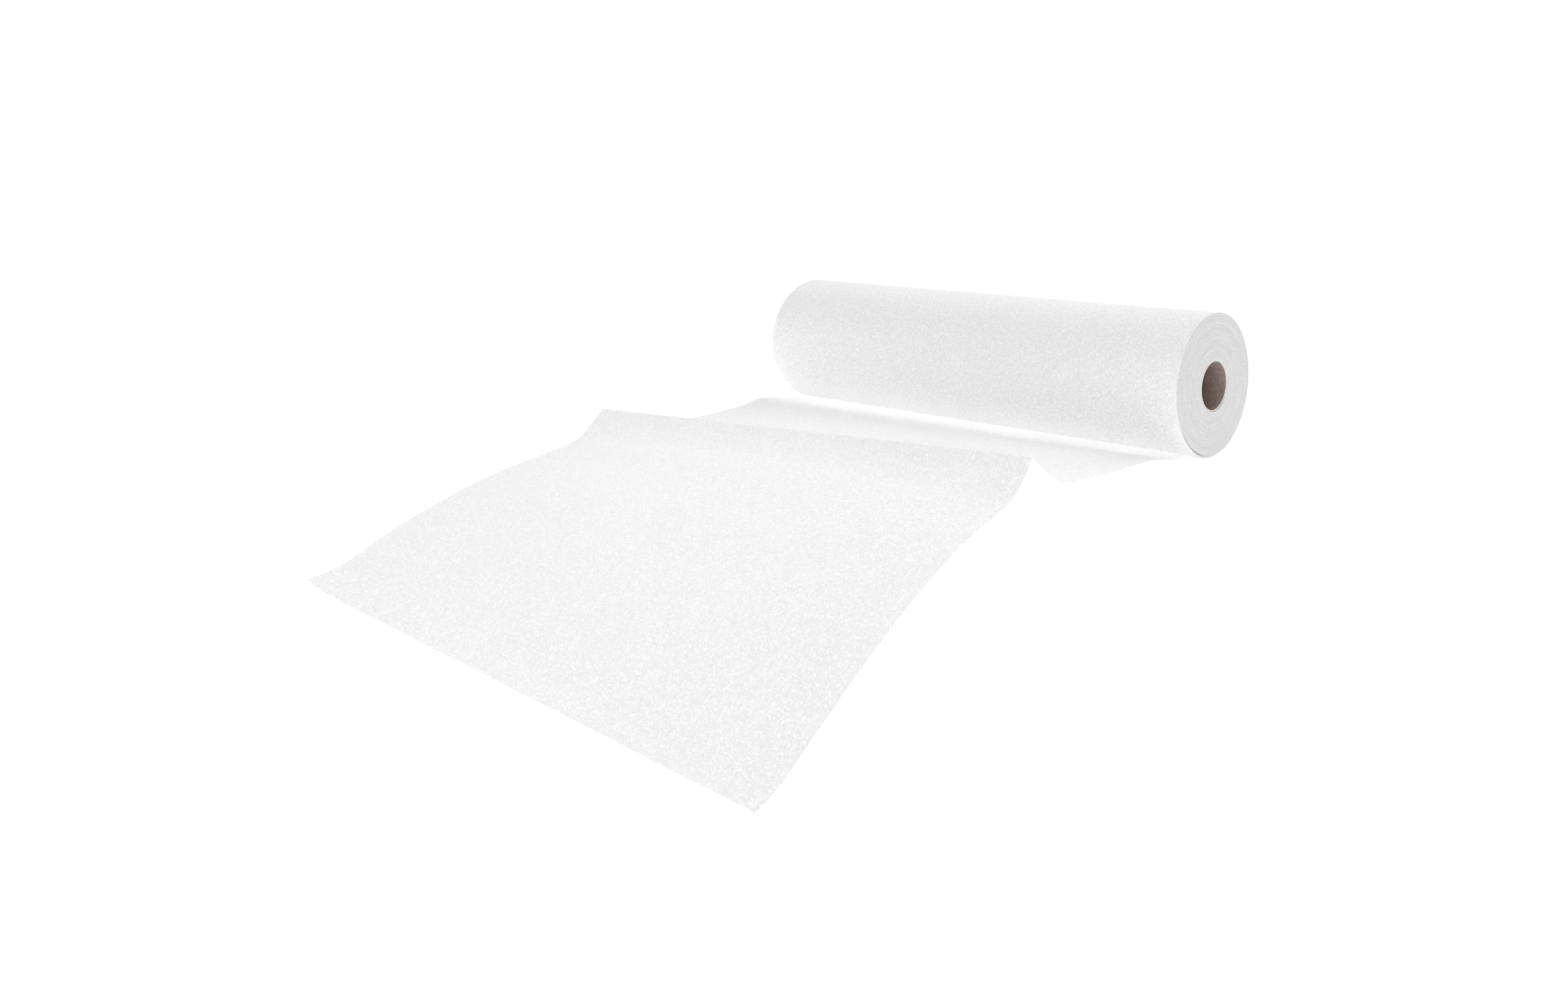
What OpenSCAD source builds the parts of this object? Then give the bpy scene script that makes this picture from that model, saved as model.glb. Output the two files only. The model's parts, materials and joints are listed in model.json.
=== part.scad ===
// Roll of exam table paper, part unrolled. All lengths are in millimetres.
// The roll lies along X on its flat spot at Z = 0, and the leaf runs forward along -Y.

/* [Roll] */
// Width of the paper, which is the length of the roll
paper_w = 500; // [300:1:600]
// Diameter over the outermost turn
roll_d = 129; // [90:1:180]
// Depth of the flat spot that the soft roll rests on
flat_depth = 1.5; // [0.5:0.1:3]
// Number of bands of turns that show on each end face
turn_bands = 9; // [3:1:14]
// Greatest depth to which a band of turns sits back from the end face
band_depth = 0.6; // [0.1:0.1:1.5]

/* [Core] */
// Inner diameter of the cardboard core
core_d = 43; // [30:0.5:60]
// Wall of the cardboard core
core_wall = 1.5; // [0.8:0.1:3]
// How far the core sits back from each end face
core_inset = 0.6; // [0:0.1:3]
// Clearance between the core and the first turn
core_gap = 0.05; // [0:0.05:0.5]

/* [Leaf] */
// Thickness that the unrolled paper is drawn with
leaf_t = 0.5; // [0.3:0.1:1]
// Sideways drift of the free end to the right
free_end_drift = 14; // [0:1:40]
// Reach of the curl at the left free corner
curl_reach = 42; // [20:1:80]
// Lift of the left free corner
curl_lift = 4; // [0:0.5:15]

/* [Web between roll and ridge] */
// Angle round from the roll's lowest line at which the web leaves it, left and right
leave_angle = [30, 35]; // [15:1:60]
// Toe of the web close to the roll: left run, left height, right run, right height
toe = [20, 10, 20, 17]; // [5:0.5:60]
// Crest of the low wave behind the toe
crest = [61, 24, 52, 28]; // [10:0.5:90]
// Dip in front of the low wave
dip = [83, 24.5, 75, 35.5]; // [20:0.5:120]
// Middle of the web
middle = [133, 31, 128, 47]; // [25:0.5:160]
// Belly of the valley behind the ridge
belly = [200, 44, 191, 63.5]; // [30:0.5:220]
// Rise from the valley to the ridge
rise = [230, 60, 212, 79]; // [40:0.5:260]
// Sharp ridge
ridge = [248, 79, 228, 99]; // [50:0.5:290]

/* [Leaf in front of the ridge] */
// Steep face below the ridge, measured as the web is
face = [262, 70.5, 240, 88]; // [50:0.5:300]
// Soft kink at the foot of that face
kink = [283, 60.5, 261, 77]; // [40:0.5:320]
// Shoulder
shoulder = [318, 60.5, 311, 72]; // [40:0.5:360]
// Swell
swell = [370, 62, 369, 58]; // [30:0.5:410]
// Slope
slope = [422, 59, 426, 39]; // [20:0.5:460]
// Fall
fall = [474, 51.5, 479, 17]; // [10:0.5:510]
// Skirt behind the free end
skirt = [516, 42.5, 515, 2.5]; // [2:0.5:550]
// Free end
free_end = [546, 38.5, 532, 0]; // [0:0.5:590]

/* [Hidden] */
$fn = 96;
roll_r = roll_d / 2;
bore_r = core_d / 2 + core_wall + core_gap;
axis_height = roll_r - flat_depth;
// How deep the web starts inside the roll, so that both are one piece
root_depth = 3;
// Steps between neighbouring landmarks along the leaf, and strips across it
steps_along = 4;
strips_across = 16;
// Above 1 the strips crowd towards the left edge, where the corner curls
crowding = 1.5;
// Turn between one band and the next in the wave that sets how far each sits back
band_turn = 137;

// One landmark line as seen from its left or right end: [run from the axis, height]
function foot(side) = [
    roll_r * sin(leave_angle[side]),
    axis_height - roll_r * cos(leave_angle[side])
];
function mark(line, side) = [foot(side)[0] + line[2 * side], line[2 * side + 1]];
function root(side) =
    let (toward_toe = mark(toe, side) - foot(side))
    foot(side) - root_depth * toward_toe / norm(toward_toe);
function web_marks(side) = concat(
    [root(side), foot(side)],
    [for (line = [toe, crest, dip, middle, belly, rise, ridge]) mark(line, side)]
);
function leaf_marks(side) =
    [for (line = [ridge, face, kink, shoulder, swell, slope, fall, skirt, free_end]) mark(line, side)];

// Smooth curve through landmarks, with the pace of the straight hops between them
function hop(marks, i) = norm(marks[i + 1] - marks[i]);
function heading(marks, i) =
    i == 0 ? (marks[1] - marks[0]) / hop(marks, 0)
    : i == len(marks) - 1 ? (marks[i] - marks[i - 1]) / hop(marks, i - 1)
    : (marks[i + 1] - marks[i - 1]) / (hop(marks, i - 1) + hop(marks, i));
function between(marks, i, t) =
    let (pace = hop(marks, i))
    (2 * t ^ 3 - 3 * t ^ 2 + 1) * marks[i]
    + (t ^ 3 - 2 * t ^ 2 + t) * pace * heading(marks, i)
    + (3 * t ^ 2 - 2 * t ^ 3) * marks[i + 1]
    + (t ^ 3 - t ^ 2) * pace * heading(marks, i + 1);
function curve(marks) = [
    for (i = [0 : len(marks) - 2])
        for (k = [0 : steps_along - 1])
            between(marks, i, k / steps_along)
];
function edge_line(side) = concat(
    curve(web_marks(side)),
    curve(leaf_marks(side)),
    [mark(free_end, side)]
);

// The sheet is ruled: each station is a straight line from the left edge to the right
left_line = edge_line(0);
right_line = edge_line(1);
stations = len(left_line);
ridge_station = steps_along * (len(web_marks(0)) - 1);
function drift(j) = free_end_drift * max(0, j - ridge_station) / (stations - 1 - ridge_station);
function across(i) = pow(i / strips_across, crowding);
function ruled(i, j) =
    let (u = across(i), p = (1 - u) * left_line[j] + u * right_line[j])
    [paper_w * (u - 0.5) + drift(j), -p[0], p[1]];
free_corner = ruled(0, stations - 1);
function curl(p) =
    let (away = norm([p[0] - free_corner[0], p[1] - free_corner[1]]) / curl_reach)
    away < 1 ? curl_lift * (1 - away) ^ 2 : 0;
function under(i, j) = let (p = ruled(i, j)) p + [0, 0, curl(p)];
function clip(v, top) = max(0, min(top, v));
function upward(i, j) =
    let (
        x_way = under(clip(i + 1, strips_across), j) - under(clip(i - 1, strips_across), j),
        y_way = under(i, clip(j + 1, stations - 1)) - under(i, clip(j - 1, stations - 1)),
        n = cross(y_way, x_way)
    )
    n / norm(n);

module leaf() {
    rows = stations;
    cols = strips_across + 1;
    lower = [for (j = [0 : rows - 1]) for (i = [0 : cols - 1]) under(i, j)];
    upper = [
        for (j = [0 : rows - 1])
            for (i = [0 : cols - 1])
                under(i, j) + leaf_t * upward(i, j)
    ];
    shift = rows * cols;
    function at(i, j) = j * cols + i;
    top_faces = [
        for (j = [0 : rows - 2])
            for (i = [0 : cols - 2])
                for (t = [
                    [at(i, j), at(i + 1, j), at(i + 1, j + 1)],
                    [at(i, j), at(i + 1, j + 1), at(i, j + 1)]
                ])
                    [for (v = t) v + shift]
    ];
    bottom_faces = [for (t = top_faces) [for (v = [2, 1, 0]) t[v] - shift]];
    rim = concat(
        [for (i = [0 : cols - 2]) at(i, 0)],
        [for (j = [0 : rows - 2]) at(cols - 1, j)],
        [for (i = [cols - 1 : -1 : 1]) at(i, rows - 1)],
        [for (j = [rows - 1 : -1 : 1]) at(0, j)]
    );
    rim_faces = [
        for (k = [0 : len(rim) - 1])
            let (a = rim[k], b = rim[(k + 1) % len(rim)])
            for (t = [[a, b, b + shift], [a, b + shift, a + shift]])
                t
    ];
    polyhedron(concat(lower, upper), concat(top_faces, bottom_faces, rim_faces));
}

// How far band k of the turns sits back from the end face
function band_back(k) = band_depth * (0.5 + 0.5 * sin(k * band_turn));

// Half section of the wound turns, with radius along X and the roll's axis along Y
module turns_section() {
    band_w = (roll_r - bore_r) / turn_bands;
    half_w = paper_w / 2;
    right_end = [
        for (k = [0 : turn_bands - 1])
            for (r = [bore_r + k * band_w, bore_r + (k + 1) * band_w])
                [r, half_w - band_back(k)]
    ];
    left_end = [
        for (k = [turn_bands - 1 : -1 : 0])
            for (r = [bore_r + (k + 1) * band_w, bore_r + k * band_w])
                [r, -half_w + band_back(k + turn_bands)]
    ];
    polygon(concat(right_end, left_end));
}

module wound_turns() {
    difference() {
        translate([0, 0, axis_height])
            rotate([90, 0, 90])
                rotate_extrude()
                    turns_section();
        translate([-paper_w, -roll_r, -2 * flat_depth])
            cube([2 * paper_w, roll_d, 2 * flat_depth]);
    }
}

module paper() {
    color("whitesmoke")
        union() {
            wound_turns();
            leaf();
        }
}

module core() {
    core_len = paper_w - 2 * core_inset;
    color("rosybrown")
        translate([-core_len / 2, 0, axis_height])
            rotate([0, 90, 0])
                difference() {
                    cylinder(h = core_len, r = core_d / 2 + core_wall);
                    translate([0, 0, -1])
                        cylinder(h = core_len + 2, r = core_d / 2);
                }
}

core();
paper();
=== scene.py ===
import bmesh
import bpy
import json
import math
from mathutils import Matrix, Vector, noise


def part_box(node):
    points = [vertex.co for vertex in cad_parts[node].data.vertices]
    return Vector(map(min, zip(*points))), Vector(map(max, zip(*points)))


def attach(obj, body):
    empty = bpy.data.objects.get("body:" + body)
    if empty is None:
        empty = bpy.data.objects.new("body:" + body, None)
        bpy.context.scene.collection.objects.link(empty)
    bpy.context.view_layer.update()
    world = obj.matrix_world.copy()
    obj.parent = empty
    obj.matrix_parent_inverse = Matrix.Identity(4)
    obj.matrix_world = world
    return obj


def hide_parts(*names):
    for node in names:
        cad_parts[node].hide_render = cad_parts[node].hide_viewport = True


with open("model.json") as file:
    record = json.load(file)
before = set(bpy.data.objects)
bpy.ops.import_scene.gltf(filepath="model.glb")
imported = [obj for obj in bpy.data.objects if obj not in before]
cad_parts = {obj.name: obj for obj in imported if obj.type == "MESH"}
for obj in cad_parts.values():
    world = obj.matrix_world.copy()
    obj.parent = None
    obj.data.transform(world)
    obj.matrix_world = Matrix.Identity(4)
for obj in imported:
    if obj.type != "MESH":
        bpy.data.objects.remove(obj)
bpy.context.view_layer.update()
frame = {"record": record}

mm = 0.001
axisHeight = frame["record"]["mounts"][0]["pos_m"][2]    # middle of the core above the floor
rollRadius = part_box("paper")[1].z - axisHeight
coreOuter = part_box("core")[1].y
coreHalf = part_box("core")[1].x


# small helpers for meshes

def newPiece(name, bm, materials):
    mesh = bpy.data.meshes.new(name)
    bm.to_mesh(mesh)
    bm.free()
    piece = bpy.data.objects.new(name, mesh)
    bpy.context.scene.collection.objects.link(piece)
    for material in materials:
        mesh.materials.append(material)
    mesh.shade_smooth()
    return piece


def spinProfile(bm, points, steps):
    # points are (x, radius) round the core's middle line, in a closed loop
    verts = [bm.verts.new((x, 0, axisHeight + radius)) for x, radius in points]
    edges = [bm.edges.new(pair) for pair in zip(verts, verts[1:] + verts[:1])]
    bmesh.ops.spin(bm, geom=verts + edges, cent=(0, 0, axisHeight), axis=(1, 0, 0), dvec=(0, 0, 0),
                   angle=2 * math.pi, steps=steps, use_merge=True)
    bmesh.ops.remove_doubles(bm, verts=bm.verts, dist=1e-6)
    bmesh.ops.recalc_face_normals(bm, faces=bm.faces)


def angleOf(point):
    # 0 straight down, growing towards the drawn-off paper in front
    return math.atan2(-point.y, axisHeight - point.z)


def radiusOf(point):
    return math.hypot(point.y, point.z - axisHeight)


def smoothStep(low, high, value):
    t = min(1, max(0, (value - low) / (high - low)))
    return t * t * (3 - 2 * t)


# small helpers for node materials

def newMaterial(name):
    material = bpy.data.materials.new(name)
    material.use_nodes = True
    return material, material.node_tree, material.node_tree.nodes["Principled BSDF"]


def addNode(tree, kind, inputs=None, **settings):
    node = tree.nodes.new(kind)
    for key, value in settings.items():
        setattr(node, key, value)
    for key, value in (inputs or {}).items():
        if isinstance(value, bpy.types.NodeSocket):
            tree.links.new(value, node.inputs[key])
        else:
            node.inputs[key].default_value = value
    return node


def noiseAt(tree, vector, scale, detail=2.0, roughness=0.5, distortion=0.0):
    return addNode(tree, "ShaderNodeTexNoise", {"Vector": vector, "Scale": scale, "Detail": detail,
                                                "Roughness": roughness, "Distortion": distortion}).outputs[0]


def mathNode(tree, operation, first, second=0.0):
    return addNode(tree, "ShaderNodeMath", {0: first, 1: second}, operation=operation).outputs[0]


def remap(tree, value, fromLow, fromHigh, toLow, toHigh):
    return addNode(tree, "ShaderNodeMapRange", {"Value": value, "From Min": fromLow, "From Max": fromHigh,
                                                "To Min": toLow, "To Max": toHigh}).outputs[0]


def blendColours(tree, factor, first, second):
    node = addNode(tree, "ShaderNodeMix", data_type="RGBA")
    for key, value in ((0, factor), (6, first), (7, second)):
        if isinstance(value, bpy.types.NodeSocket):
            tree.links.new(value, node.inputs[key])
        else:
            node.inputs[key].default_value = value
    return node.outputs[2]


def weigh(tree, first, second, firstShare):
    return mathNode(tree, "ADD", mathNode(tree, "MULTIPLY", first, firstShare),
                    mathNode(tree, "MULTIPLY", second, 1 - firstShare))


def bumpNode(tree, height, depth, strength):
    return addNode(tree, "ShaderNodeBump", {"Height": height, "Distance": depth,
                                            "Strength": strength}).outputs[0]


def showMix(tree, output, share, first, second):
    mix = addNode(tree, "ShaderNodeMixShader", {0: share, 1: first.outputs[0], 2: second.outputs[0]})
    tree.links.new(mix.outputs[0], tree.nodes[output].inputs["Surface"])


def rollParts(tree, place):
    # the place as x, y and z, with y and z counted from the core's middle line
    toMiddle = (0, 0, -axisHeight)
    centred = addNode(tree, "ShaderNodeMapping", {"Vector": place, "Location": toMiddle}).outputs[0]
    return addNode(tree, "ShaderNodeSeparateXYZ", {0: centred}).outputs


# camera at the photograph's place
cameraValues = {
    "photoSize": (2408, 1516),
    "place": (0.7972, -0.9416, 0.4443),
    "right": (0.7921, 0.5997, -0.1140),
    "up": (-0.1146, 0.3295, 0.9372),
    "focalPixels": 1994.8,
    "middlePixels": (1560, 620),     # where the line of sight meets the photograph
}


def makeCamera(values):
    width, height = values["photoSize"]
    data = bpy.data.cameras.new("photoCamera")
    data.sensor_width = 36
    data.lens = data.sensor_width * values["focalPixels"] / width
    data.shift_x = (width / 2 - values["middlePixels"][0]) / width
    data.shift_y = (values["middlePixels"][1] - height / 2) / width
    right = Vector(values["right"]).normalized()
    back = right.cross(Vector(values["up"])).normalized()
    turn = Matrix((right, back.cross(right), back)).transposed().to_4x4()
    camera = bpy.data.objects.new("photoCamera", data)
    camera.matrix_world = Matrix.Translation(values["place"]) @ turn
    bpy.context.scene.collection.objects.link(camera)
    bpy.context.scene.camera = camera


makeCamera(cameraValues)
print("camera set")


# paper: soft, white, embossed all over with small worm-like bumps; the bumps' valleys are coloured darker,
# as painted shade
paperValues = {
    "colour": (0.98, 0.98, 0.98, 1),
    # painted shade: the colour of the bumps' valleys
    "valleyShade": (0.85, 0.85, 0.85, 1),
    "sheetValleyShade": (0.80, 0.80, 0.80, 1),    # deeper painted shade in the bumps' valleys of the single sheet
    "bumpsPerMetre": 520,
    "bumpTwist": 1.2,       # bends the bumps into short worms
    "bumpEdges": (0.36, 0.64),      # noise below is valley, above is ridge
    "fibresPerMetre": 1612,
    "fibreShare": 0.25,
    "cloudsPerMetre": 14,   # slow changes of tone
    "cloudShare": 0.2,
    "bumpHeight": 0.4 * mm,
    "bumpStrength": 0.8,
    "roughness": 0.9,
    "shine": 0.25,
    "sheetGlow": 0.47,      # share of light that a single sheet lets through
    "footGlow": 0.72,       # higher where it leaves the roll and hangs free over the table, so that more light comes through and lightens the fold at the foot: painted light
    "footReach": (30 * mm, 90 * mm),    # along the sheet, where one share turns into the other
    "sheetMapStart": 1.0,   # the sheet's map starts here, so that its pattern isn't the roll's again
}


def paperMaterial(name, values, valleyShade, glow):
    material, tree, shader = newMaterial(name)
    along = addNode(tree, "ShaderNodeUVMap", uv_map="paperMap").outputs[0]
    worms = noiseAt(tree, along, values["bumpsPerMetre"], 1.0, 0.5, values["bumpTwist"])
    ridges = remap(tree, worms, *values["bumpEdges"], 0, 1)
    fibres = noiseAt(tree, along, values["fibresPerMetre"], 2.0, 0.6)
    height = mathNode(tree, "ADD", ridges, mathNode(tree, "MULTIPLY", fibres, values["fibreShare"]))
    bump = bumpNode(tree, height, values["bumpHeight"], values["bumpStrength"])
    clouds = noiseAt(tree, along, values["cloudsPerMetre"], 3.0, 0.6)
    # tone: mostly the bumps, whose valleys take the painted shade colour; the rest is slow random changes of
    # tone
    tone = weigh(tree, clouds, ridges, values["cloudShare"])
    tree.links.new(bump, shader.inputs["Normal"])
    tree.links.new(blendColours(tree, tone, valleyShade, values["colour"]), shader.inputs["Base Color"])
    shader.inputs["Roughness"].default_value = values["roughness"]
    shader.inputs["Specular IOR Level"].default_value = values["shine"]
    if glow:
        # near the roll the sheet lets more light through, painted light that lightens the fold at the foot
        fromRoll = addNode(tree, "ShaderNodeSeparateXYZ", {0: along}).outputs[1]
        reach = [values["sheetMapStart"] + distance for distance in values["footReach"]]
        share = remap(tree, fromRoll, *reach, values["footGlow"], glow)
        through = addNode(tree, "ShaderNodeBsdfTranslucent", {"Color": values["colour"], "Normal": bump})
        showMix(tree, "Material Output", share, shader, through)
    return material


# end faces: the edges of the wound turns, seen as faint rings; the whole face is coloured darker than the
# paper, as painted shade between the turns' edges
edgeValues = {
    # painted shade: both colours are darker than the paper's
    "shadedEdgeLight": (0.82, 0.82, 0.82, 1),
    "shadedEdgeDark": (0.63, 0.63, 0.63, 1),
    "turnsPerMetre": 1500,
    "changesPerMetre": 60,  # how soon a ring's tone changes on its way round
    "grainPerMetre": 620,
    "grainDepth": 0.8,      # against the rings' depth
    "grainShare": 0.65,     # of the tone
    "toneEdges": (0.3, 0.62),
    "turnDepth": 0.25 * mm,
    "bumpStrength": 0.8,
    "roughness": 0.95,
    "shine": 0.2,
}


def turnEdgeMaterial(values):
    material, tree, shader = newMaterial("shadedTurnEdges")
    place = addNode(tree, "ShaderNodeTexCoord").outputs["Object"]
    parts = rollParts(tree, place)
    flat = addNode(tree, "ShaderNodeCombineXYZ", {1: parts[1], 2: parts[2]}).outputs[0]
    radius = addNode(tree, "ShaderNodeVectorMath", {0: flat}, operation="LENGTH").outputs["Value"]
    rings = addNode(tree, "ShaderNodeCombineXYZ", {
        0: mathNode(tree, "MULTIPLY", radius, values["turnsPerMetre"]),
        1: mathNode(tree, "MULTIPLY", parts[1], values["changesPerMetre"]),
        2: mathNode(tree, "MULTIPLY", parts[2], values["changesPerMetre"])}).outputs[0]
    turns = noiseAt(tree, rings, 1.0, 3.0, 0.6)
    grain = noiseAt(tree, place, values["grainPerMetre"], 3.0, 0.7)
    height = mathNode(tree, "ADD", turns, mathNode(tree, "MULTIPLY", grain, values["grainDepth"]))
    bump = bumpNode(tree, height, values["turnDepth"], values["bumpStrength"])
    tone = remap(tree, weigh(tree, grain, turns, values["grainShare"]), *values["toneEdges"], 0, 1)
    tree.links.new(bump, shader.inputs["Normal"])
    # rings and grain are the edges' own tone; the darker colours are painted shade
    tree.links.new(blendColours(tree, tone, values["shadedEdgeDark"], values["shadedEdgeLight"]), shader.inputs["Base Color"])
    shader.inputs["Roughness"].default_value = values["roughness"]
    shader.inputs["Specular IOR Level"].default_value = values["shine"]
    return material


paper = paperMaterial("woundPaper", paperValues, paperValues["valleyShade"], 0)
sheetPaper = paperMaterial("sheetPaper", paperValues, paperValues["sheetValleyShade"], paperValues["sheetGlow"])
shadedTurnEdges = turnEdgeMaterial(edgeValues)


# the wound roll
rollValues = {
    "paperWidth": 500 * mm,
    "edgeRound": 1.2 * mm,      # softness of the outermost turns' edge
    "rings": 46,                # rings drawn on each end face
    "ringDepth": 0.3 * mm,
    "ringsPerMetre": 1400,      # how fast that depth changes along the radius
    "bandCount": 9,             # bands of turns that sit back a little
    "bandDepth": 0.24 * mm,
    "bandTurn": 137,            # degrees from one band to the next in the wave that sets its depth
    "boreSteps": 8,
    "stepsAlong": 80,
    "stepsAround": 200,
    "looseTurn": 2.0 * mm,      # thickness of the outer turns that stand off near the foot
    "looseGap": 1.1 * mm,
    "looseDepth": 5 * mm,
    "looseFrom": math.radians(22),      # round from the lowest line
    "looseTo": math.radians(74),
    "looseOpens": 0.25,         # radians over which the gap opens, and closes
    "looseCloses": 0.4,
    "softness": 0.25 * mm,      # long, low lumps of the side
    "lumpsPerMetre": (9, 22),   # along the roll and round it
    "lumpsFrom": (0.7, 1.2),    # radians from the lowest line: none where the roll rests
}


def ringBack(values, radius, end):
    # how far an end face sits back at this radius; end is 1 at the right and -1 at the left
    band = int((radius - coreOuter) / (rollRadius - coreOuter) * values["bandCount"])
    if end < 0:
        band += values["bandCount"]
    bandPart = values["bandDepth"] * (0.5 + 0.5 * math.sin(math.radians(values["bandTurn"]) * band))
    ringNoise = noise.noise(Vector((radius * values["ringsPerMetre"], end * 7.3, 0)))
    return bandPart + values["ringDepth"] * (0.5 + 0.5 * ringNoise)


def rollProfile(values):
    half = values["paperWidth"] / 2
    soft = values["edgeRound"]
    flatEdge = rollRadius - soft
    # the groove under the loose turn: its inner lip, inner wall, outer wall and outer lip
    turn, gap = values["looseTurn"], values["looseGap"]
    groove = [rollRadius - turn - gap * share for share in (1.4, 1.0, 0.0, -0.4)]
    radii = [coreOuter + (groove[0] - coreOuter) * i / values["rings"] for i in range(values["rings"])]
    radii += [radius for radius in groove if radius < flatEdge] + [flatEdge]
    right = [(half - ringBack(values, radius, 1), radius) for radius in radii]
    left = [(-half + ringBack(values, radius, -1), radius) for radius in reversed(radii)]
    rounding = [(soft * math.cos(a), soft * math.sin(a)) for a in map(math.radians, (22, 45, 68, 90))]
    startX, endX = right[-1][0], left[0][0]
    right += [(startX - soft + along, flatEdge + out) for along, out in rounding]
    left = [(endX + soft - along, flatEdge + out) for along, out in reversed(rounding)] + left
    sideFrom, sideTo = right[-1][0], left[0][0]
    side = [(sideFrom + (sideTo - sideFrom) * i / values["stepsAlong"], rollRadius)
            for i in range(1, values["stepsAlong"])]
    steps = values["boreSteps"]
    bore = [(values["paperWidth"] * (i / steps - 0.5), coreOuter) for i in range(1, steps)]
    return right + side + left + bore


def looseWindow(values, angle):
    opened = smoothStep(values["looseFrom"], values["looseFrom"] + values["looseOpens"], angle)
    return opened * (1 - smoothStep(values["looseTo"] - values["looseCloses"], values["looseTo"], angle))


def sideLump(values, place):
    along, around = values["lumpsPerMetre"]
    lump = noise.noise(Vector((place.x * along, place.y * around, place.z * around))) - 0.5
    lump *= values["softness"] * smoothStep(*values["lumpsFrom"], abs(angleOf(place)))
    return lump * Vector((0, place.y, place.z - axisHeight)).normalized()


def buildRoll(values):
    bm = bmesh.new()
    spinProfile(bm, rollProfile(values), values["stepsAround"])
    grooveMiddle = rollRadius - values["looseTurn"] - 0.5 * values["looseGap"]
    for vert in bm.verts:
        radius = radiusOf(vert.co)
        inGroove = abs(radius - grooveMiddle) < 0.6 * values["looseGap"]
        if inGroove and abs(vert.co.x) > 0.45 * values["paperWidth"]:
            back = values["looseDepth"] * looseWindow(values, angleOf(vert.co))
            vert.co.x -= math.copysign(back, vert.co.x)
        if radius > rollRadius - 2 * mm:
            vert.co += sideLump(values, vert.co)
        vert.co.z = max(vert.co.z, 0)
    paperMap = bm.loops.layers.uv.new("paperMap")
    for face in bm.faces:
        face.material_index = 1 if abs(face.normal.x) > 0.7 else 0
        centreAngle = angleOf(face.calc_center_median())
        for loop in face.loops:
            turn = angleOf(loop.vert.co) - centreAngle
            turn = (turn + math.pi) % (2 * math.pi) - math.pi
            loop[paperMap].uv = (loop.vert.co.x, (centreAngle + turn) * rollRadius)
    roll = newPiece("woundRoll", bm, [paper, shadedTurnEdges])
    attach(roll, "root")
    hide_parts("paper")
    return roll


woundRoll = buildRoll(rollValues)
print("roll built:", len(woundRoll.data.polygons), "faces")


# the drawn-off leaf: a sheet ruled between its left and its right edge
# each mark is left run, left height, right run, right height; runs start where the web leaves the roll
leafValues = {
    "width": 500 * mm,
    "thickness": 0.3 * mm,
    "leaveAngle": (30, 35),         # degrees round from the roll's lowest line, left and right
    "tuckAngle": 12,                # the hidden start below the roll
    # share of the way from there to where the web leaves, and how far the sheet stands off the roll
    "tuckStands": ((0, -0.8), (0.35, 0.4), (0.7, 0.6), (1, 0.6)),
    "webMarks": {
        "toe": (20, 10, 20, 17),
        "crest": (61, 24, 52, 28),
        "dip": (83, 24.5, 75, 35.5),
        "middle": (133, 31, 128, 47),
        "belly": (200, 44, 191, 63.5),
        "rise": (230, 60, 212, 79),
        "ridge": (248, 79, 228, 99),
    },
    "frontMarks": {
        "ridge": (248, 79, 228, 99),
        "face": (262, 70.5, 240, 88),
        "kink": (283, 60.5, 261, 77),
        "shoulder": (318, 60.5, 311, 72),
        "swell": (370, 62, 369, 58),
        "slope": (422, 59, 426, 39),
        "fall": (474, 51.5, 479, 17),
        "skirt": (516, 42.5, 515, 2.5),
        "freeEnd": (546, 38.5, 532, 0),
    },
    "rowStep": 2.4 * mm,
    "columns": 150,
    "freeEndDrift": 14 * mm,
    "curlReach": 42 * mm,
    "curlLift": 4 * mm,
    "ripple": 0.5 * mm,             # low ripples all over the sheet
    "ripplesPerMetre": (16, 11),    # across and along
    "rippleFrom": (30 * mm, 90 * mm),       # along the sheet: none at the roll
    "rippleAbove": 20 * mm,         # full only where the sheet is this high off the floor
    "creaseRounds": 2,              # rounds of smoothing along the ridge
    "creaseSoftness": 0.35,
    # soft swells across the sheet: distance from the roll or the ridge, half width, height left and right
    "footSwell": (18, 11, 0.8, 1.7),
    "footCrease": (60, 14, 0.1, -1.6),
    "creaseTurnsBack": 18 * mm,     # the crease bends towards the roll at the right edge
    "creaseTurnsFrom": 0.75,        # share of the width at which that bend starts
    "middleFill": (48, 26, 6.5),    # the kink in front of the ridge is softer in the middle of the sheet
    "middleFillSpread": 0.7,        # below 1 the fill reaches further out to both edges
}


def footOf(values, side):
    angle = math.radians(values["leaveAngle"][side])
    return Vector((rollRadius * math.sin(angle), axisHeight - rollRadius * math.cos(angle)))


def tuckMarks(values, side):
    # from just inside the roll to its surface, where the web leaves it
    low, high = values["tuckAngle"], values["leaveAngle"][side]
    marks = []
    for share, stand in values["tuckStands"]:
        angle = math.radians(low + share * (high - low))
        radius = rollRadius + stand * mm
        marks.append(Vector((radius * math.sin(angle), axisHeight - radius * math.cos(angle))))
    return marks


def edgeMarks(values, group, side):
    foot = footOf(values, side).x
    marks = values[group].values()
    return [Vector((foot + mark[2 * side] * mm, mark[2 * side + 1] * mm)) for mark in marks]


def curvePoint(marks, i, t):
    def pace(k):
        return (marks[k + 1] - marks[k]).length

    def heading(k):
        if k == 0:
            return (marks[1] - marks[0]) / pace(0)
        if k == len(marks) - 1:
            return (marks[k] - marks[k - 1]) / pace(k - 1)
        return (marks[k + 1] - marks[k - 1]) / (pace(k - 1) + pace(k))

    return ((2 * t ** 3 - 3 * t ** 2 + 1) * marks[i] + (t ** 3 - 2 * t ** 2 + t) * pace(i) * heading(i)
            + (3 * t ** 2 - 2 * t ** 3) * marks[i + 1] + (t ** 3 - t ** 2) * pace(i) * heading(i + 1))


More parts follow.
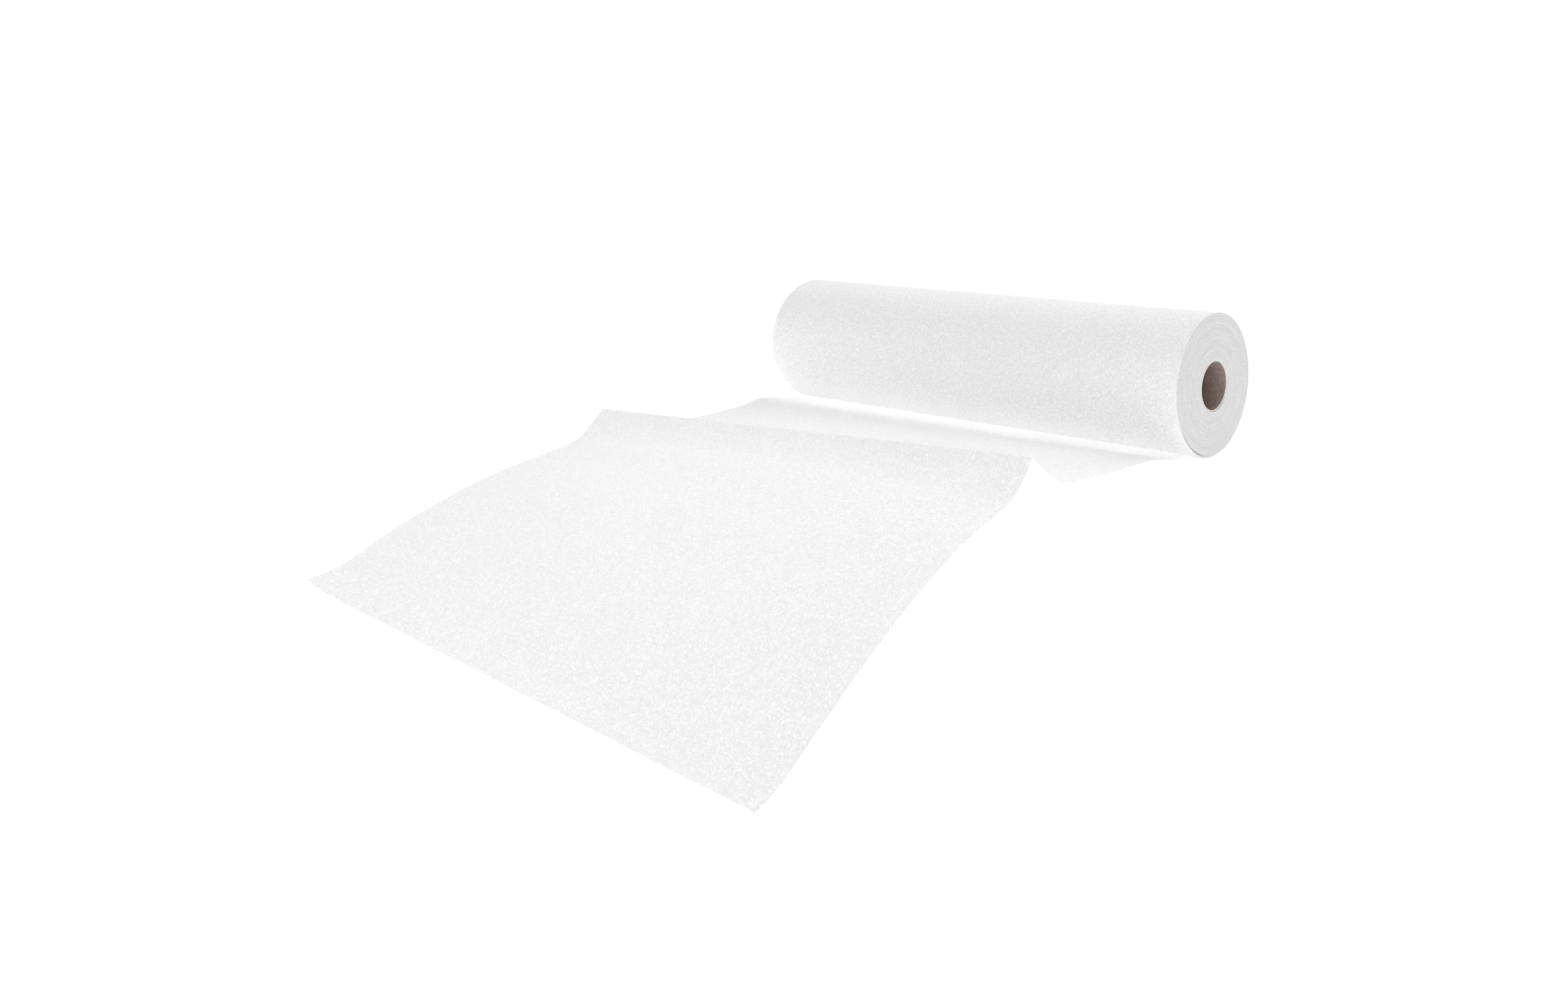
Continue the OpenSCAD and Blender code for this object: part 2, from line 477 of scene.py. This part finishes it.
def edgeRows(values):
    # matching points of the left and right edge, about a row step apart
    rows, footRow, ridgeRow = [], 0, 0
    lastTuck = len(values["tuckStands"]) - 1
    webs = [tuckMarks(values, side) + edgeMarks(values, "webMarks", side) for side in (0, 1)]
    fronts = [edgeMarks(values, "frontMarks", side) for side in (0, 1)]
    for left, right in (webs, fronts):
        ridgeRow = len(rows)
        for i in range(len(left) - 1):
            if left is webs[0] and i == lastTuck:
                footRow = len(rows)
            length = ((left[i + 1] - left[i]).length + (right[i + 1] - right[i]).length) / 2
            steps = max(2, round(length / values["rowStep"]))
            for k in range(steps):
                rows.append((curvePoint(left, i, k / steps), curvePoint(right, i, k / steps)))
    rows.append((fronts[0][-1], fronts[1][-1]))
    return rows, footRow, ridgeRow


def swell(shape, along, u):
    # u goes from 0 at the left edge to 1 at the right
    at, half, left, right = shape
    return (left + (right - left) * u) * mm * math.exp(-((along / mm - at) / half) ** 2)


def liftAt(values, u, place, tip, lengths):
    # what stands above the ruled sheet; lengths are counted from its start, the foot and the ridge
    fromStart, fromFoot, fromRidge = lengths
    away = (Vector((place.x, place.y)) - tip).length / values["curlReach"]
    lift = values["curlLift"] * max(0, 1 - away) ** 2
    lift += swell(values["footSwell"], fromFoot, u)
    turnBack = values["creaseTurnsBack"] * smoothStep(values["creaseTurnsFrom"], 1, u)
    lift += swell(values["footCrease"], fromFoot + turnBack, u)
    at, half, height = values["middleFill"]
    fill = swell((at, half, height, height), fromRidge, u)
    lift += fill * math.sin(math.pi * u) ** values["middleFillSpread"]
    calm = smoothStep(*values["rippleFrom"], fromStart) * smoothStep(0, values["rippleAbove"], place.z)
    across, along = values["ripplesPerMetre"]
    return lift + calm * values["ripple"] * noise.noise(Vector((place.x * across, place.y * along, 1.7)))


def buildLeaf(values):
    rows, footRow, ridgeRow = edgeRows(values)
    last = len(rows) - 1
    lengths = [0.0]
    for (a, b), (c, d) in zip(rows, rows[1:]):
        lengths.append(lengths[-1] + ((c - a).length + (d - b).length) / 2)
    width, drift = values["width"], values["freeEndDrift"]
    tip = Vector((-width / 2 + drift, -rows[last][0].x))
    bm = bmesh.new()
    bmesh.ops.create_grid(bm, x_segments=values["columns"], y_segments=last, size=0.5)
    paperMap = bm.loops.layers.uv.new("paperMap")
    placeOf = {}
    for vert in bm.verts:
        u, row = vert.co.x + 0.5, round((vert.co.y + 0.5) * last)
        placeOf[vert] = (u, row)
        edge = rows[row][0].lerp(rows[row][1], u)
        x = width * (u - 0.5) + drift * max(0, row - ridgeRow) / (last - ridgeRow)
        vert.co = Vector((x, -edge.x, edge.y))
        fromMarks = [lengths[row] - lengths[mark] for mark in (0, footRow, ridgeRow)]
        vert.co.z += liftAt(values, u, vert.co, tip, fromMarks)
    for face in bm.faces:
        for loop in face.loops:
            u, row = placeOf[loop.vert]
            loop[paperMap].uv = (u * width, lengths[row] + paperValues["sheetMapStart"])
    crease = [vert for vert, (u, row) in placeOf.items() if abs(row - ridgeRow) < 2]
    for i in range(values["creaseRounds"]):
        bmesh.ops.smooth_vert(bm, verts=crease, factor=values["creaseSoftness"],
                              use_axis_y=True, use_axis_z=True)
    bmesh.ops.recalc_face_normals(bm, faces=bm.faces)
    if sum(face.normal.z for face in bm.faces) < 0:
        bmesh.ops.reverse_faces(bm, faces=bm.faces)
    for edge in bm.edges:
        edge.smooth = not edge.is_boundary
    leaf = newPiece("drawnLeaf", bm, [sheetPaper])
    thick = leaf.modifiers.new("thickness", "SOLIDIFY")
    thick.thickness = values["thickness"]
    thick.offset = 1
    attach(leaf, "root")
    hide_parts("paper")
    print("leaf built:", len(rows), "rows, flat length", round(lengths[-1], 4))
    return leaf


drawnLeaf = buildLeaf(leafValues)


# the cardboard core
coreValues = {
    "innerRadius": 21.5 * mm,
    "rimRound": 0.35 * mm,
    "stepsAround": 128,
    "inside": (0.42, 0.34, 0.30, 1),
    "insideDark": (0.22, 0.175, 0.155, 1),
    "toneEdges": (0.34, 0.64),
    "flecksPerMetre": 1300,
    "mottlesPerMetre": 260,
    "fleckShare": 0.6,
    "rim": (0.86, 0.79, 0.74, 1),
    "rimFlecksPerMetre": 1500,
    "rimFleckTone": 0.8,
    "seamPitch": 95 * mm,
    "seamWidth": 0.012,     # share of the pitch
    "seamTone": 0.35,
}


def boardMaterial(values):
    material, tree, shader = newMaterial("coreBoard")
    place = addNode(tree, "ShaderNodeTexCoord").outputs["Object"]
    parts = rollParts(tree, place)
    turn = mathNode(tree, "DIVIDE", mathNode(tree, "ARCTAN2", parts[2], parts[1]), 2 * math.pi)
    along = mathNode(tree, "DIVIDE", parts[0], values["seamPitch"])
    spiral = mathNode(tree, "FRACT", mathNode(tree, "ADD", along, turn))
    fromSeam = mathNode(tree, "ABSOLUTE", mathNode(tree, "SUBTRACT", spiral, 0.5))
    seam = remap(tree, fromSeam, 0, values["seamWidth"], 0, 1)
    fleck = noiseAt(tree, place, values["flecksPerMetre"], 3.0, 0.65)
    mottle = noiseAt(tree, place, values["mottlesPerMetre"], 3.0, 0.6)
    tone = remap(tree, weigh(tree, fleck, mottle, values["fleckShare"]), *values["toneEdges"], 0, 1)
    tone = mathNode(tree, "MULTIPLY", tone, remap(tree, seam, 0, 1, values["seamTone"], 1))
    boardColour = blendColours(tree, tone, values["insideDark"], values["inside"])
    tree.links.new(boardColour, shader.inputs["Base Color"])
    bump = bumpNode(tree, mathNode(tree, "ADD", fleck, seam), 0.15 * mm, 0.7)
    tree.links.new(bump, shader.inputs["Normal"])
    shader.inputs["Roughness"].default_value = 0.85
    shader.inputs["Specular IOR Level"].default_value = 0.3
    return material


def rimMaterial(values):
    material, tree, shader = newMaterial("coreRim")
    place = addNode(tree, "ShaderNodeTexCoord").outputs["Object"]
    fleck = remap(tree, noiseAt(tree, place, values["rimFlecksPerMetre"], 2.0, 0.6), 0.35, 0.65, 0, 1)
    darker = tuple(values["rimFleckTone"] * channel for channel in values["rim"][:3]) + (1,)
    tree.links.new(blendColours(tree, fleck, darker, values["rim"]), shader.inputs["Base Color"])
    tree.links.new(bumpNode(tree, fleck, 0.1 * mm, 0.6), shader.inputs["Normal"])
    shader.inputs["Roughness"].default_value = 0.9
    return material


def buildCore(values):
    inner, outer, soft = values["innerRadius"], coreOuter, values["rimRound"]
    arc = [math.radians(a) for a in (0, 30, 60, 90)]
    rightOut = [(coreHalf - soft + soft * math.sin(a), outer - soft + soft * math.cos(a)) for a in arc]
    rightIn = [(coreHalf - soft + soft * math.cos(a), inner + soft - soft * math.sin(a)) for a in arc]
    right = rightOut + rightIn
    left = [(-x, radius) for x, radius in reversed(right)]
    bm = bmesh.new()
    spinProfile(bm, right + left, values["stepsAround"])
    for face in bm.faces:
        face.material_index = 1 if abs(face.normal.x) > 0.3 else 0
    core = newPiece("boardCore", bm, [boardMaterial(values), rimMaterial(values)])
    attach(core, "root")
    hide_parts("core")
    return core


boardCore = buildCore(coreValues)
print("core built")


# lit table, white sky and lamps; the camera and reflections see the table and the sky as white
stageValues = {
    "floorSize": 60.0,
    "floorColour": (0.6, 0.6, 0.6, 1),
    "whiteShare": (0.8, 1.0),       # how much of the floor is seen as plain white, near and far
    "whiteReach": (0.7, 1.8),       # metres from the roll's middle
    "skyStrength": 0.15,
    "tableGlow": 0.95,              # the table is lit from below, as for a cut-out picture
    "lampAim": (0, -0.25, 0.03),
    "lampAway": 2.4,
    "lampSize": 1.4,
    # azimuth (0 in front, 90 at the visible end of the roll), height angle, power
    "lamps": {
        "topLamp": (0, 88, 18.5),
        "backLamp": (180, 35, 33),
        "leftLamp": (-45, 12, 19),
        "frontLamp": (39, 35, 17.5),
    },
}


def seenDirectly(tree):
    # 1 for rays from the camera, a reflection or clear glass, 0 for light that falls on or through paper
    path = addNode(tree, "ShaderNodeLightPath")
    seen = mathNode(tree, "MAXIMUM", path.outputs["Is Camera Ray"], path.outputs["Is Glossy Ray"])
    clear = mathNode(tree, "SUBTRACT", path.outputs["Is Transmission Ray"], path.outputs["Is Diffuse Ray"])
    return mathNode(tree, "MAXIMUM", seen, clear)


def floorMaterial(values):
    material, tree, shader = newMaterial("floorWhite")
    shader.inputs["Base Color"].default_value = values["floorColour"]
    shader.inputs["Roughness"].default_value = 1
    shader.inputs["Specular IOR Level"].default_value = 0
    shader.inputs["Emission Color"].default_value = (1, 1, 1, 1)
    shader.inputs["Emission Strength"].default_value = values["tableGlow"]
    white = addNode(tree, "ShaderNodeEmission", {"Color": (1, 1, 1, 1), "Strength": 1})
    place = addNode(tree, "ShaderNodeTexCoord").outputs["Object"]
    away = addNode(tree, "ShaderNodeVectorMath", {0: place}, operation="LENGTH").outputs["Value"]
    whiteShare = remap(tree, away, *values["whiteReach"], *values["whiteShare"])
    share = mathNode(tree, "MULTIPLY", seenDirectly(tree), whiteShare)
    showMix(tree, "Material Output", share, shader, white)
    material.cycles.emission_sampling = "NONE"      # so large a lamp is found by chance well enough
    return material


def makeFloor(values):
    bm = bmesh.new()
    bmesh.ops.create_grid(bm, x_segments=1, y_segments=1, size=values["floorSize"] / 2)
    floor = newPiece("floor", bm, [floorMaterial(values)])


def makeSky(values):
    world = bpy.data.worlds.new("studioSky")
    world.use_nodes = True
    bpy.context.scene.world = world
    tree = world.node_tree
    sky = tree.nodes["Background"]
    sky.inputs["Strength"].default_value = values["skyStrength"]
    sky.inputs["Color"].default_value = (1, 1, 1, 1)
    backdrop = addNode(tree, "ShaderNodeBackground", {"Color": (1, 1, 1, 1), "Strength": 1})
    showMix(tree, "World Output", seenDirectly(tree), sky, backdrop)


def makeLamps(values):
    for name, (azimuth, height, power) in values["lamps"].items():
        side, up = math.radians(azimuth), math.radians(height)
        way = Vector((math.sin(side) * math.cos(up), -math.cos(side) * math.cos(up), math.sin(up)))
        data = bpy.data.lights.new(name, "AREA")
        data.energy = power
        data.size = values["lampSize"]
        lamp = bpy.data.objects.new(name, data)
        place = Vector(values["lampAim"]) + way * values["lampAway"]
        turn = (-way).to_track_quat("-Z", "Y").to_matrix().to_4x4()
        lamp.matrix_world = Matrix.Translation(place) @ turn
        bpy.context.scene.collection.objects.link(lamp)


makeFloor(stageValues)
makeSky(stageValues)
makeLamps(stageValues)
bpy.context.scene.view_settings.view_transform = "Standard"
bpy.context.scene.cycles.diffuse_bounces = 12    # white paper hands light on many times
print("stage set")
